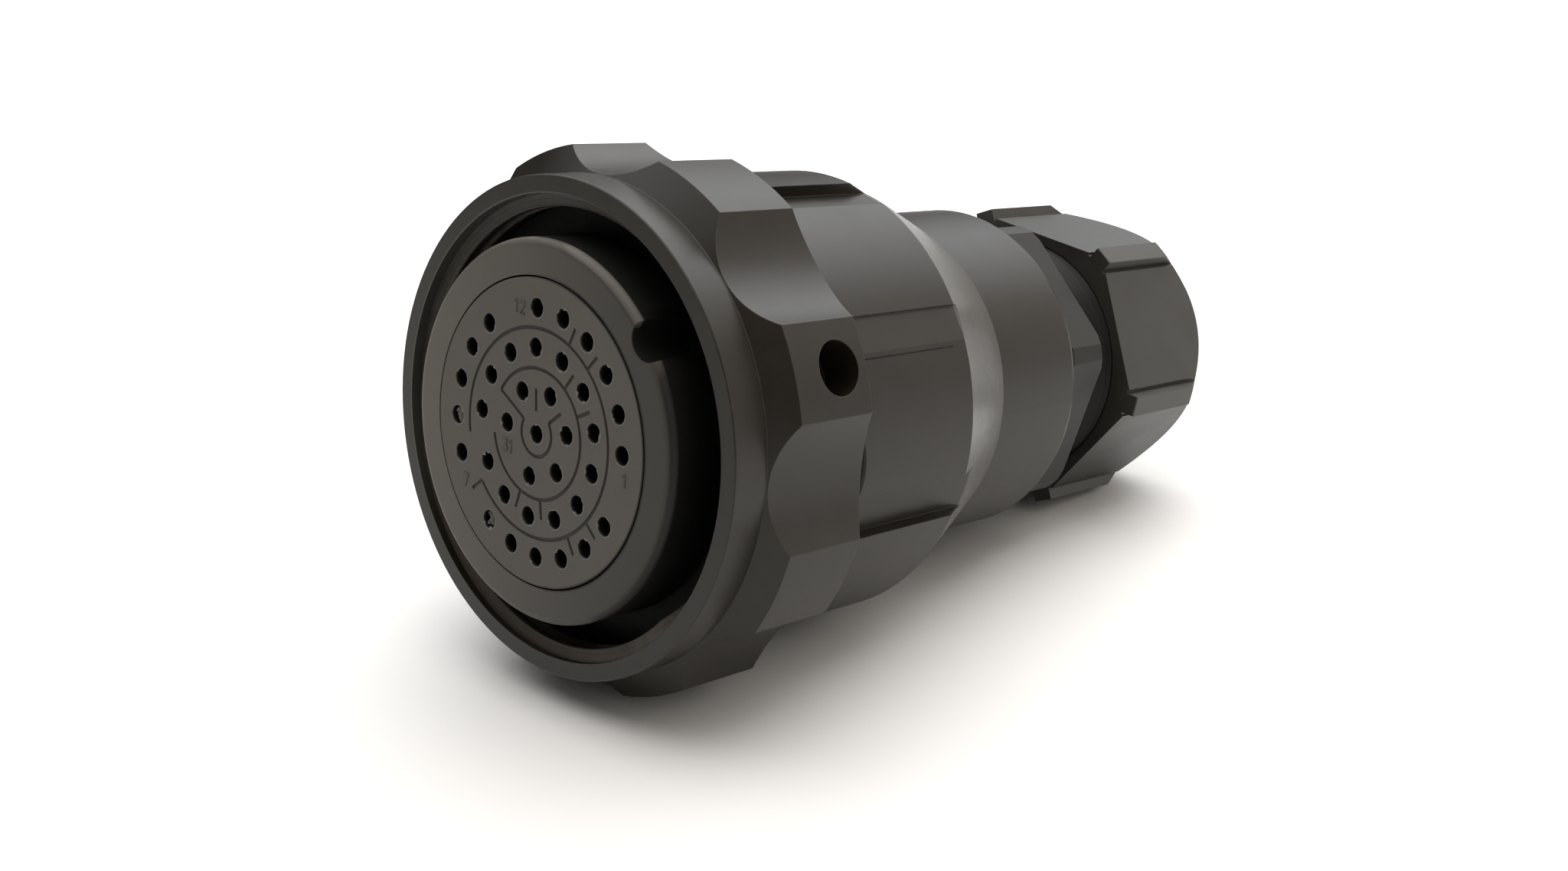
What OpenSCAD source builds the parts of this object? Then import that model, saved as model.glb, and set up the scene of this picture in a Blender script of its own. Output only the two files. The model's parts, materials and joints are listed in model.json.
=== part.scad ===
// Circular multi-pole cable connector: screw coupling ring, 37-way socket insert and cable gland.
// The connector lies on two ring lobes and one corner of the gland nut, nose towards -Y.
// Each piece is drawn along its own axis, s = 0 at the nose face, and then laid down by lie().
// Angles are seen from the nose: 0 is to the right (+X) and 90 is up.

/* [Coupling ring] */
// Radius over the grip lobes
lobe_r = 31.25; // [30.5:0.25:34]
// Number of grip lobes
lobe_count = 8; // [6:1:10]
// Width of each lobe's outer land
lobe_land = 10.4; // [7:0.2:12]
// Radius of the plain rim in front of the lobes
rim_r = 28.05; // [27.7:0.05:29]
// Distance of the rim's front edge behind the nose face
rim_setback = 2.4; // [1:0.1:4]
// Length of the plain rim
rim_len = 4.65; // [3:0.05:7]
// Length of the slope in front of and behind the lobes
lobe_slope = 1.9; // [1:0.1:3]
// Length of the lobes' outer land
land_len = 11; // [9:0.5:14]
// Pitch radius of the coupling thread
thread_r = 25.2; // [24.9:0.05:25.8]
// Radius of the lead-in at the ring's mouth
lead_in_r = 26; // [25.9:0.05:26.6]
// Depth of the lead-in
lead_in_len = 2.2; // [0.6:0.1:2.5]
// Radius of the spanner hole in one lobe
spanner_r = 3; // [1.5:0.1:3.4]
// Depth of the spanner hole
spanner_depth = 5; // [2:0.25:6]
// Distance of the spanner hole from the rear end of its land
spanner_back = 4.25; // [3.5:0.25:6]

/* [Nose and inserts] */
// Radius of the nose barrel
nose_r = 21.4; // [20.8:0.1:21.8]
// Rounding of the nose's front edge
nose_edge = 1; // [0.3:0.1:1.8]
// Step down behind the nose's mating length
nose_step = 0.4; // [0.3:0.05:0.6]
// Space between the mating length and the interface seal
mating_relief = 0.5; // [0.2:0.1:1]
// Length of the plain nose up to its flange
nose_plain_len = 18; // [16:0.5:20]
// Rise of the flange that holds the nose in the front shell
nose_flange_rise = 0.55; // [0.3:0.05:0.8]
// Length of the whole nose barrel
nose_len = 24; // [23:0.25:26]
// Radius of the seam between nose and front insert
seam_r = 17.35; // [16.8:0.05:17.8]
// Width of the open seam round the inserts
seam_gap = 0.2; // [0.05:0.01:0.3]
// Radius of the seat for the rear insert
seat_r = 18.4; // [18.2:0.05:19]
// Depth of that seat's shoulder behind the nose face
seat_depth = 14; // [13:0.5:16]
// Radius of the half-round key groove
key_r = 2.3; // [1:0.1:2.6]
// Angle of the key groove
key_angle = 40; // [30:1:50]
// Length of the front insert
insert_len = 9; // [6:0.5:10]
// Rear face of the rear insert behind the nose face
rear_insert_end = 21; // [19:0.5:22]
// Width of the guide lines on the front insert
guide_w = 0.4; // [0.2:0.05:0.6]
// Depth of the guide lines
guide_depth = 0.15; // [0.05:0.05:0.3]
// Radius of the dowel that keeps the nose from turning
dowel_r = 0.75; // [0.5:0.05:1]

/* [Contacts] */
// Radius of the outer ring of contacts
outer_ring_r = 13.87; // [13.4:0.05:14.2]
// Radius of the middle ring of contacts
middle_ring_r = 9.54; // [9.2:0.05:9.8]
// Radius of the inner ring of contacts
inner_ring_r = 5.03; // [4.8:0.05:5.3]
// Radius of the holes in the front insert
hole_r = 1.1; // [1.05:0.01:1.3]
// Radius of a socket contact
contact_r = 1; // [0.9:0.02:1.02]
// Distance of the contacts' front ends behind the nose face
contact_recess = 3; // [1:0.25:4]
// Rear end of the contacts behind the nose face
contact_end = 29; // [27:0.5:34]
// Radius of a contact's collar
collar_r = 1.5; // [1.3:0.05:1.7]
// Length of a contact's collar
collar_len = 1.9; // [1:0.1:2.2]
// Length of a contact clip
clip_len = 1; // [0.6:0.05:1.2]
// Bore of the socket at the contact's front
socket_bore_r = 0.7; // [0.5:0.05:0.75]
// Depth of the socket
socket_depth = 7; // [4:0.5:8]
// Bore of the crimp barrel at the contact's rear
crimp_bore_r = 0.75; // [0.5:0.05:0.8]
// Depth of the crimp barrel
crimp_depth = 6; // [3:0.5:8]

/* [Front shell] */
// Distance of the front shell behind the nose face
shell_setback = 9.5; // [8.5:0.25:11]
// Radius of the surface that the coupling ring turns on
bearing_r = 24; // [23.6:0.05:24.3]
// Length of the flange in front of the ring's shoulder
shell_flange_len = 2.5; // [1.5:0.1:3]
// Radius of the spigot that screws into the rear shell
spigot_r = 23.4; // [23:0.05:23.5]
// Length of the spigot
spigot_len = 8.4; // [6:0.2:10]
// Section radius of the seal on the spigot, as a share of the spigot's wall
shell_seal_share = 0.25; // [0.15:0.01:0.3]
// Thickness of the interface seal
interface_seal_t = 1; // [0.6:0.1:1.5]
// Thickness of the slip washer
slip_washer_t = 0.8; // [0.4:0.1:1.2]
// Section radius of the round seals
seal_section_r = 0.8; // [0.5:0.05:0.9]
// Thickness of the retaining washer
washer_t = 1; // [0.6:0.1:1.4]
// Inner radius of the retaining washer
washer_bore_r = 15.6; // [15.4:0.1:17]
// Thickness of the retaining clip
clip_t = 1.2; // [0.8:0.1:1.6]
// Width of the retaining clip
clip_w = 2.2; // [1.5:0.1:3]
// Depth of the clip's groove
clip_groove = 0.6; // [0.3:0.05:0.8]
// Free opening of the clip, in degrees
clip_opening = 30; // [20:1:50]

/* [Rear shell] */
// Radius of the grooved body
body_r = 27.45; // [27.2:0.05:28]
// Length of the grooved body
body_len = 19.65; // [17:0.25:24]
// Radius of the neck
neck_r = 21.45; // [20.5:0.05:22.5]
// Length of the taper between body and neck
taper_len = 14.15; // [11:0.25:17]
// Length of the plain neck
neck_len = 16; // [13:0.5:20]
// Depth of the chamfer at the neck's rear edge
neck_chamfer = 0.45; // [0.2:0.05:1.2]
// Length of the chamfer at the neck's rear edge
neck_chamfer_len = 1; // [0.3:0.05:1.5]
// Number of pairs of spanner grooves along the body
groove_pairs = 2; // [1:1:3]
// Angle of the first groove
groove_angle = 73; // [65:1:80]
// Angle between the two grooves of a pair
groove_spread = 87; // [70:1:95]
// Width of a groove
groove_w = 5.5; // [3:0.1:7]
// Depth of a groove, as a share of the wall outside the spigot
groove_share = 0.4; // [0.2:0.02:0.6]
// Angle of the shoulder of the index flat
index_angle = 34.2; // [30:0.2:40]
// Angle that the index flat covers
index_span = 10; // [6:0.5:14]
// Depth of the index flat at its shoulder
index_depth = 0.37; // [0.15:0.01:0.6]
// Radius of the wire space in the body
cavity_r = 19.5; // [18.5:0.1:21]
// Radius of the wire space in the neck
neck_cavity_r = 16.5; // [15.6:0.1:17.5]
// Thickness of the rear washer behind the coupling ring
rear_washer_t = 0.6; // [0.3:0.05:0.7]
// Width of the rear washer
rear_washer_w = 2.6; // [1:0.1:3]

/* [Cable gland] */
// Radius of the gland's thread in the neck
gland_thread_r = 15.1; // [14.9:0.05:15.4]
// Length of that thread
gland_thread_len = 10; // [8:0.5:12]
// Space between the gland's foot and the end of that thread
gland_foot_gap = 2; // [0.5:0.25:4]
// Thickness of the gasket under the gland
gasket_t = 0.8; // [0.4:0.1:1.2]
// Width across the flats of the gland's hexagon
hex_flats = 36; // [35:0.5:38]
// Radius over the gland hexagon's rounded corners
hex_corner_r = 20.2; // [19.4:0.1:20.7]
// Length of the gland's hexagon
hex_len = 7.7; // [5:0.1:10]
// Angle of one corner of the gland's hexagon
hex_angle = 15.4; // [0:0.2:59]
// Chamfer on the hexagon's corners, in front and behind
hex_chamfer = 0.6; // [0.2:0.1:1]
// Radius of the collar behind the hexagon
collar_flange_r = 16.9; // [16.8:0.05:17.6]
// Length of that collar
collar_flange_len = 0.6; // [0.4:0.1:1.4]
// Radius of the thread under the nut
nut_thread_r = 16.6; // [16.3:0.05:16.8]
// Length of the thread and collar behind the hexagon
nut_thread_len = 16.6; // [14:0.2:17]
// Pitch of that thread
nut_thread_pitch = 1.5; // [1:0.1:2]
// Depth of that thread
nut_thread_depth = 0.5; // [0.2:0.05:0.7]
// Bore of the gland body
gland_bore_r = 12.6; // [12:0.1:13]
// Radius of the mouth that takes the clamp basket
mouth_r = 15; // [14.8:0.05:15.2]
// Depth of the mouth
mouth_len = 11.5; // [10:0.5:13]

/* [Gland nut and clamp] */
// Width across the flats of the nut
nut_flats = 36; // [35.5:0.25:38]
// Radius to the top of the ribs on the nut's corners
nut_rib_r = 21.2; // [20.9:0.05:22]
// Width of those ribs
nut_rib_w = 2.8; // [1.6:0.1:4]
// Width of the grooves on both sides of each rib
nut_groove_w = 0.5; // [0.2:0.05:1]
// Depth of those grooves
nut_groove_depth = 0.45; // [0.1:0.05:0.8]
// Angle of one corner of the nut
nut_angle = 52.4; // [30:0.2:59]
// Gap between the gland's hexagon and the nut, as it lies
nut_gap = 7.2; // [6.6:0.1:8]
// Length of the nut
nut_len = 23.8; // [22.5:0.1:26]
// Length of the nut up to its domed end
nut_straight_len = 14.7; // [12:0.1:16]
// Fall of the domed end's side, across for each unit along
dome_fall = 0.546; // [0.4:0.01:0.62]
// Rounding of the dome's rear edge
dome_edge = 3; // [1:0.1:3.2]
// Radius of the nut's cable mouth
nut_mouth_r = 13.4; // [13:0.1:13.8]
// Length of the plain cable mouth
nut_mouth_len = 1.4; // [0.8:0.1:2]
// Length of the cone that closes the clamp basket
nut_cone_len = 7; // [6:0.1:7.5]
// Largest cable radius that the seal takes
cable_r = 12.5; // [12:0.05:12.6]
// Wall of the cable seal
cable_seal_wall = 1.2; // [0.8:0.05:1.25]
// Length of the cable seal
cable_seal_len = 13; // [10:0.5:14]
// Length of the clamp basket
basket_len = 14.5; // [12.5:0.1:14.6]
// Length of the basket's solid ring
basket_ring_len = 5.5; // [4:0.5:7]
// Number of fingers on the basket
finger_count = 12; // [8:1:16]
// Width of the slots between the fingers
finger_slot = 1.2; // [0.6:0.1:1.6]

/* [Fits] */
// Radial clearance of seated pieces
seat_fit = 0.05; // [0.03:0.01:0.1]
// Radial clearance of pieces that turn or screw on one another
running_fit = 0.05; // [0.02:0.01:0.1]
// Clearance of loose moving faces
free_gap = 0.2; // [0.15:0.05:0.4]
// Gap between the coupling ring and the rear shell
ring_gap = 0.75; // [0.7:0.05:1.2]
// Broken edge of turned pieces
edge_break = 0.15; // [0.05:0.05:0.3]

/* [Hidden] */
$fn = 96;
beyond = 1;

anodised = "#26272a";
moulding = "#303032";
nylon = "#222325";
rubber = "#1a1a1b";
steel = "#a9adb2";
brass = "#c8a04a";

// Places of the coupling ring's faces along the axis
rim_s = rim_setback;
rim_end = rim_s + rim_len;
land_s = rim_end + lobe_slope;
land_end = land_s + land_len;
ring_end = land_end + lobe_slope;

// Grip lobes and the scallops between them
lobe_pitch = 360 / lobe_count;
lobe_half = asin(lobe_land / 2 / lobe_r);
scallop_half = lobe_pitch / 2 - lobe_half;
scallop_floor_r = rim_r + edge_break;
scallop_sag = lobe_r * cos(scallop_half) - scallop_floor_r;
scallop_r = (pow(lobe_r * sin(scallop_half), 2) + pow(scallop_sag, 2)) / (2 * scallop_sag);
drilled_lobe = 2;

// Front shell and what it holds
nose_back_r = nose_r - nose_step;
interface_s = shell_setback - interface_seal_t;
mating_len = interface_s - mating_relief;
nose_flange_r = nose_r + nose_flange_rise;
shell_flange_r = thread_r - free_gap;
shell_flange_end = shell_setback + shell_flange_len;
shoulder_s = shell_flange_end + slip_washer_t + free_gap;
ring_bore_r = bearing_r + running_fit;
body_s = ring_end + ring_gap;
spigot_end = body_s + spigot_len;
washer_end = nose_len + washer_t;
clip_end = washer_end + clip_t;
clip_r = nose_flange_r + seat_fit + clip_groove;
ring_seal_r = bearing_r - seal_section_r;
ring_seal_s = shoulder_s + 3 * seal_section_r;
shell_seal_section_r = shell_seal_share * (spigot_r - nose_flange_r - seat_fit);
shell_seal_r = spigot_r - shell_seal_section_r;
shell_seal_s = body_s + 3 * shell_seal_section_r;
insert_r = seam_r - seam_gap;
rear_insert_r = seat_r - seat_fit;
dowel_s = (nose_plain_len + ring_end) / 2;
dowel_foot_r = (seat_r + nose_flange_r) / 2;
clip_pocket_len = collar_len + clip_len + seat_fit;

// Contact places, as [radius, angle]
outer_places = 20;
outer_start = 94;
outer_empty = [6, 13, 19];
middle_places = 13;
middle_pitch = 27;
middle_start = 176;
inner_places = 6;
inner_pitch = 55.5;
inner_start = 178;
CONTACTS = concat(
    [[0, 0]],
    [for (k = [0:inner_places - 1]) [inner_ring_r, inner_start - k * inner_pitch]],
    [for (k = [0:middle_places - 1]) [middle_ring_r, middle_start - k * middle_pitch]],
    [for (k = [0:outer_places - 1]) if (len(search(k, outer_empty)) == 0)
        [outer_ring_r, outer_start - k * 360 / outer_places]]);

// Guide lines on the front insert: angles and radii, and the places along each ring that have a tick
outer_line = [-140, 192];
middle_line = [-168, 150];
centre_line = [-210, 39];
outer_line_r = (outer_ring_r + middle_ring_r) / 2;
middle_line_r = (middle_ring_r + inner_ring_r) / 2;
centre_line_r = inner_ring_r / 2;
outer_ticks = [1.5, 2.5, 7.5, 8.5, 13];
middle_ticks = [4.5, 5.5, 9.5, 10.5];
inner_ticks = [1.5, 2.5];

// Rear shell
body_end = body_s + body_len;
taper_end = body_end + taper_len;
neck_end = taper_end + neck_len;
cavity_s = spigot_end + free_gap;
gland_thread_s = neck_end - gland_thread_len;
groove_depth = groove_share * (body_r - spigot_r - seat_fit);

// Gland
gasket_end = neck_end + gasket_t;
hex_end = gasket_end + hex_len;
nut_thread_s = hex_end + collar_flange_len;
nut_thread_end = hex_end + nut_thread_len;
nut_thread_turns = floor((nut_thread_end - nut_thread_s) / nut_thread_pitch);
nut_root_r = nut_thread_r - nut_thread_depth;
mouth_s = nut_thread_end - mouth_len;
gland_foot_s = gland_thread_s + gland_foot_gap;
nut_s = hex_end + nut_gap;
nut_dome_s = nut_s + nut_straight_len;
nut_end = nut_s + nut_len;
nut_bore_r = nut_thread_r + running_fit;
nut_cone_end = nut_end - nut_mouth_len;
nut_cone_s = nut_cone_end - nut_cone_len;
nut_pitch = 60;
nut_rib_foot_r = (nut_bore_r + nut_flats / 2) / 2;
nut_corner_r = nut_flats / 2 / cos(30);
nut_groove_floor_r = nut_corner_r - (nut_rib_w + nut_groove_w) / 2 * tan(30) - nut_groove_depth;
dome_r = norm([nut_rib_r, nut_rib_w / 2]);

// Clamp basket and seal: the basket's fingers reach into the nut's cone
basket_r = mouth_r - 2 * running_fit;
basket_bore_r = cable_r + cable_seal_wall + seat_fit;
basket_room = (nut_bore_r - basket_r - 6 * running_fit) / (nut_bore_r - nut_mouth_r) * nut_cone_len;
basket_end = nut_cone_s + basket_room;
basket_s = basket_end - basket_len;

// How the connector lies: on two lobes beside the lowest scallop, and on one corner rib of the nut
lobe_drop = lobe_r * cos(scallop_half);
function rib_drop(angle) = nut_rib_r * cos(angle) + nut_rib_w / 2 * abs(sin(angle));
nut_drop = max([for (k = [0:5]) rib_drop(nut_angle + 90 + k * nut_pitch)]);
tilt = atan2(lobe_drop - nut_drop, nut_dome_s - land_end);
axis_height = land_end * sin(tilt) + lobe_drop * cos(tilt);
dome_edge_s = nut_end - dome_edge;
dome_edge_r = dome_r - dome_fall * (dome_edge_s - nut_dome_s) - dome_edge * norm([1, dome_fall]);
front_y = nose_edge * cos(tilt) - (nose_r - nose_edge) * sin(tilt) - nose_edge;
rear_y = dome_edge_s * cos(tilt) + dome_edge_r * sin(tilt) + dome_edge;

// Lays a piece drawn along its axis down on the floor
module lie() {
    translate([0, -(front_y + rear_y) / 2, axis_height]) rotate([-90 - tilt, 0, 0]) children();
}

// Turns a feature on the local +X side to an angle seen from the nose
module at(angle) {
    rotate([0, 0, -angle]) children();
}

// A plain ring or tube between two places on the axis
module ring(outer_r, bore_r, from, to) {
    translate([0, 0, from]) difference() {
        cylinder(r = outer_r, h = to - from);
        translate([0, 0, -beyond]) cylinder(r = bore_r, h = to - from + 2 * beyond);
    }
}

// A plain rod between two places on the axis
module rod(r, from, to) {
    translate([0, 0, from]) cylinder(r = r, h = to - from);
}

// A round seal
module seal(r, s, section_r) {
    rotate_extrude() translate([r, s]) circle(section_r);
}

// The square groove round a round seal, open outwards
module seal_groove(r, s, section_r) {
    half = section_r + seat_fit;
    ring(r + section_r + beyond, r - half, s - half, s + half);
}

// Copies a child to each contact place
module contact_places() {
    for (place = CONTACTS) at(place[1]) translate([place[0], 0, 0]) children();
}

module coupling_ring() {
    color(anodised) lie() difference() {
        rotate_extrude() polygon([
            [lead_in_r, rim_s], [rim_r - edge_break, rim_s], [rim_r, rim_s + edge_break], [rim_r, rim_end],
            [lobe_r, land_s], [lobe_r, land_end], [rim_r, ring_end], [ring_bore_r, ring_end],
            [ring_bore_r, shoulder_s], [thread_r, shoulder_s], [thread_r, rim_s + lead_in_len],
            [lead_in_r, rim_s + lead_in_len]]);
        for (k = [0:lobe_count - 1]) at(-90 + k * lobe_pitch)
            translate([scallop_floor_r + scallop_r, 0, rim_s]) cylinder(r = scallop_r, h = ring_end);
        at(-90 + (drilled_lobe + 0.5) * lobe_pitch)
            translate([lobe_r - spanner_depth, 0, land_end - spanner_back])
                rotate([0, 90, 0]) cylinder(r = spanner_r, h = spanner_depth + beyond);
    }
}

module front_shell() {
    color(anodised) lie() difference() {
        union() {
            rod(shell_flange_r, shell_setback, shell_flange_end);
            rod(bearing_r, shell_flange_end, body_s);
            rod(spigot_r, body_s, spigot_end);
        }
        rod(nose_back_r + seat_fit, shell_setback - beyond, nose_plain_len + beyond);
        rod(nose_flange_r + seat_fit, nose_plain_len, spigot_end + beyond);
        seal_groove(ring_seal_r, ring_seal_s, seal_section_r);
        seal_groove(shell_seal_r, shell_seal_s, shell_seal_section_r);
        rod(clip_r + seat_fit, washer_end, clip_end + seat_fit);
        dowel_hole();
    }
}

module dowel_hole() {
    at(key_angle) translate([dowel_foot_r - seat_fit, 0, dowel_s])
        rotate([0, 90, 0]) cylinder(r = dowel_r + seat_fit, h = bearing_r);
}

module nose_profile() {
    difference() {
        union() {
            square([nose_r, mating_len]);
            translate([0, mating_len]) square([nose_back_r, nose_plain_len - mating_len]);
            translate([0, nose_plain_len]) square([nose_flange_r, nose_len - nose_plain_len]);
        }
        translate([-beyond, -beyond]) square([seam_r + beyond, nose_len]);
        translate([-beyond, seat_depth]) square([seat_r + beyond, nose_len]);
        difference() {
            translate([nose_r - nose_edge, -beyond]) square(nose_edge + beyond);
            translate([nose_r - nose_edge, nose_edge]) circle(nose_edge);
        }
    }
}

module nose_barrel() {
    color(moulding) lie() difference() {
        rotate_extrude() nose_profile();
        at(key_angle) translate([nose_r, 0, -beyond])
            cylinder(r = key_r, h = mating_len + beyond);
        dowel_hole();
    }
}

module contact_insert() {
    color(moulding) lie() difference() {
        rod(insert_r, 0, insert_len);
        contact_places() rod(hole_r, -beyond, insert_len + beyond);
        guide_lines();
    }
}

// An engraved arc on the front insert, between two angles
module guide_arc(r, from, to) {
    rotate([0, 0, -to]) rotate_extrude(angle = to - from)
        translate([r - guide_w / 2, -beyond]) square([guide_w, guide_depth + beyond]);
}

// A short engraved line on the front insert, between two radii
module guide_tick(angle, from_r, to_r) {
    at(angle) translate([from_r, -guide_w / 2, -beyond]) cube([to_r - from_r, guide_w, guide_depth + beyond]);
}

// Lines that lead the eye along the rings of contacts, with ticks between some of the places
module guide_lines() {
    guide_arc(outer_line_r, outer_line[0], outer_line[1]);
    guide_arc(middle_line_r, middle_line[0], middle_line[1]);
    guide_arc(centre_line_r, centre_line[0], centre_line[1]);
    for (k = outer_ticks) guide_tick(outer_start - k * 360 / outer_places, outer_line_r, outer_ring_r);
    for (k = middle_ticks) guide_tick(middle_start - k * middle_pitch, middle_line_r, middle_ring_r);
    for (k = inner_ticks) guide_tick(inner_start - k * inner_pitch, centre_line_r, inner_ring_r);
    guide_tick(inner_start - inner_pitch / 2, centre_line_r, middle_line_r);
}

module rear_insert() {
    color(moulding) lie() difference() {
        union() {
            rod(insert_r, insert_len, seat_depth);
            rod(rear_insert_r, seat_depth, rear_insert_end);
        }
        contact_places() {
            rod(collar_r + seat_fit, insert_len - beyond, insert_len + clip_pocket_len);
            rod(contact_r + seat_fit, insert_len, rear_insert_end + beyond);
        }
    }
}

module wire_grommet() {
    color(rubber) lie() difference() {
        rod(rear_insert_r, rear_insert_end, nose_len);
        contact_places() rod(contact_r + seat_fit, rear_insert_end - beyond, nose_len + beyond);
    }
}

module socket_contacts() {
    color(brass) lie() contact_places() difference() {
        union() {
            rod(contact_r, contact_recess, contact_end);
            rod(collar_r, insert_len, insert_len + collar_len);
        }
        rod(socket_bore_r, contact_recess - beyond, contact_recess + socket_depth);
        rod(crimp_bore_r, contact_end - crimp_depth, contact_end + beyond);
    }
}

module contact_clips() {
    clip_s = insert_len + clip_pocket_len;
    color(steel) lie() contact_places() ring(collar_r, contact_r + seat_fit, clip_s - clip_len, clip_s);
}

module interface_seal() {
    color(rubber) lie() ring(shell_flange_r - free_gap, nose_back_r + seat_fit, interface_s, shell_setback);
}

module insert_dowel() {
    color(steel) lie() at(key_angle) translate([dowel_foot_r, 0, dowel_s])
        rotate([0, 90, 0]) cylinder(r = dowel_r, h = bearing_r - seat_fit - dowel_foot_r);
}

module retaining_washer() {
    color(steel) lie() ring(nose_flange_r, washer_bore_r, nose_len, washer_end);
}

module retaining_clip() {
    color(steel) lie() rotate([0, 0, clip_opening / 2]) rotate_extrude(angle = 360 - clip_opening)
        translate([clip_r - clip_w, washer_end]) square([clip_w, clip_t]);
}

module slip_washer() {
    color(nylon) lie() ring(shell_flange_r, bearing_r + seat_fit, shell_flange_end,
        shell_flange_end + slip_washer_t);
}

module ring_seal() {
    color(rubber) lie() seal(ring_seal_r, ring_seal_s, seal_section_r);
}

module rear_washer() {
    color(steel) lie() ring(bearing_r + rear_washer_w, bearing_r + seat_fit, body_s - rear_washer_t, body_s);
}

module shell_seal() {
    color(rubber) lie() seal(shell_seal_r, shell_seal_s, shell_seal_section_r);
}

// Half section of the rear shell: body, taper and neck outside, stepped wire space inside
module rear_shell_profile() {
    difference() {
        polygon([
            [0, body_s], [body_r, body_s], [body_r, body_end], [neck_r, taper_end],
            [neck_r, neck_end - neck_chamfer_len], [neck_r - neck_chamfer, neck_end], [0, neck_end]]);
        polygon([
            [-beyond, body_s - beyond], [spigot_r + seat_fit, body_s - beyond],
            [spigot_r + seat_fit, cavity_s], [cavity_r, cavity_s], [cavity_r, body_end],
            [neck_cavity_r, taper_end], [neck_cavity_r, gland_thread_s], [gland_thread_r, gland_thread_s],
            [gland_thread_r, neck_end + beyond], [-beyond, neck_end + beyond]]);
    }
}

// One spanner groove on the +X side, which runs out in the taper
module groove() {
    translate([body_r - groove_depth, -groove_w / 2, body_s - beyond])
        cube([groove_depth + beyond, groove_w, body_len + taper_len]);
}

// Shallow flat with one square shoulder, which shows where the key is
module index_flat() {
    low = index_angle - index_span;
    at(low) translate([0, 0, body_s - beyond]) linear_extrude(body_len + 2 * beyond) polygon([
        [body_r + index_depth / 4, 0], [body_r + beyond, 0],
        [(body_r + beyond) * cos(index_span), -(body_r + beyond) * sin(index_span)],
        [(body_r - index_depth) * cos(index_span), -(body_r - index_depth) * sin(index_span)]]);
}

module rear_shell() {
    color(anodised) lie() difference() {
        rotate_extrude() rear_shell_profile();
        for (k = [0:groove_pairs - 1]) for (side = [0, 1])
            at(groove_angle - side * groove_spread + k * 360 / groove_pairs) groove();
        index_flat();
    }
}

// A hexagon across given flats, between two places, with one corner at an angle
module hexagon(flats, angle, from, to) {
    at(angle) translate([0, 0, from]) linear_extrude(to - from) circle(flats / 2 / cos(30), $fn = 6);
}

module gland_gasket() {
    color(rubber) lie() ring(hex_flats / 2 - 2 * free_gap, gland_thread_r + seat_fit, neck_end, gasket_end);
}

// Half section of the gland's thread under the nut, its turns drawn as rings
module nut_thread_profile() {
    turns = [for (k = [0:nut_thread_turns - 1]) for (half = [0, 1])
        [half == 0 ? nut_root_r : nut_thread_r, nut_thread_s + (k + half / 2) * nut_thread_pitch]];
    last = nut_thread_s + nut_thread_turns * nut_thread_pitch;
    polygon(concat(
        [[0, hex_end], [nut_root_r, hex_end]], turns,
        [[nut_root_r, last], [nut_root_r, nut_thread_end], [0, nut_thread_end]]));
}

// The gland's hexagon with its corners turned down and chamfered
module gland_hexagon() {
    intersection() {
        hexagon(hex_flats, hex_angle, gasket_end, hex_end);
        rotate_extrude() polygon([
            [0, gasket_end], [hex_corner_r - hex_chamfer, gasket_end], [hex_corner_r, gasket_end + hex_chamfer],
            [hex_corner_r, hex_end - hex_chamfer], [hex_corner_r - hex_chamfer, hex_end], [0, hex_end]]);
    }
}

module gland_body() {
    color(nylon) lie() difference() {
        union() {
            rod(gland_thread_r - seat_fit, gland_foot_s, hex_end);
            gland_hexagon();
            rod(collar_flange_r, hex_end, nut_thread_s);
            rotate_extrude() nut_thread_profile();
        }
        rod(gland_bore_r, gland_foot_s - beyond, nut_thread_end + beyond);
        rod(mouth_r, mouth_s, nut_thread_end + beyond);
    }
}

module clamp_basket() {
    color(nylon) lie() difference() {
        ring(basket_r, basket_bore_r, basket_s, basket_end);
        for (k = [0:finger_count - 1]) at(k * 360 / finger_count)
            translate([0, -finger_slot / 2, basket_s + basket_ring_len]) cube([mouth_r, finger_slot, basket_len]);
    }
}

module cable_seal() {
    color(rubber) lie() ring(cable_r + cable_seal_wall, cable_r, basket_s, basket_s + cable_seal_len);
}

// Half section of the nut's turned envelope: straight side, domed end with a rounded edge
module nut_envelope() {
    slant = norm([1, dome_fall]);
    edge_on_dome = [dome_edge_r + dome_edge / slant, dome_edge_s + dome_edge * dome_fall / slant];
    difference() {
        polygon([
            [0, nut_s], [dome_r - edge_break, nut_s], [dome_r, nut_s + edge_break], [dome_r, nut_dome_s],
            [dome_r - dome_fall * (nut_end - nut_dome_s), nut_end], [0, nut_end]]);
        difference() {
            polygon([
                [dome_edge_r, dome_edge_s], edge_on_dome, edge_on_dome + [beyond, beyond * dome_fall],
                [dome_r, nut_end + beyond], [dome_edge_r, nut_end + beyond]]);
            translate([dome_edge_r, dome_edge_s]) circle(dome_edge);
        }
    }
}

// The grooves on both sides of the rib on the nut's +X corner
module rib_grooves() {
    for (side = [0, 1]) mirror([0, side, 0])
        translate([nut_groove_floor_r, nut_rib_w / 2, nut_s - beyond])
            cube([nut_corner_r, nut_groove_w, nut_len + 2 * beyond]);
}

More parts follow.
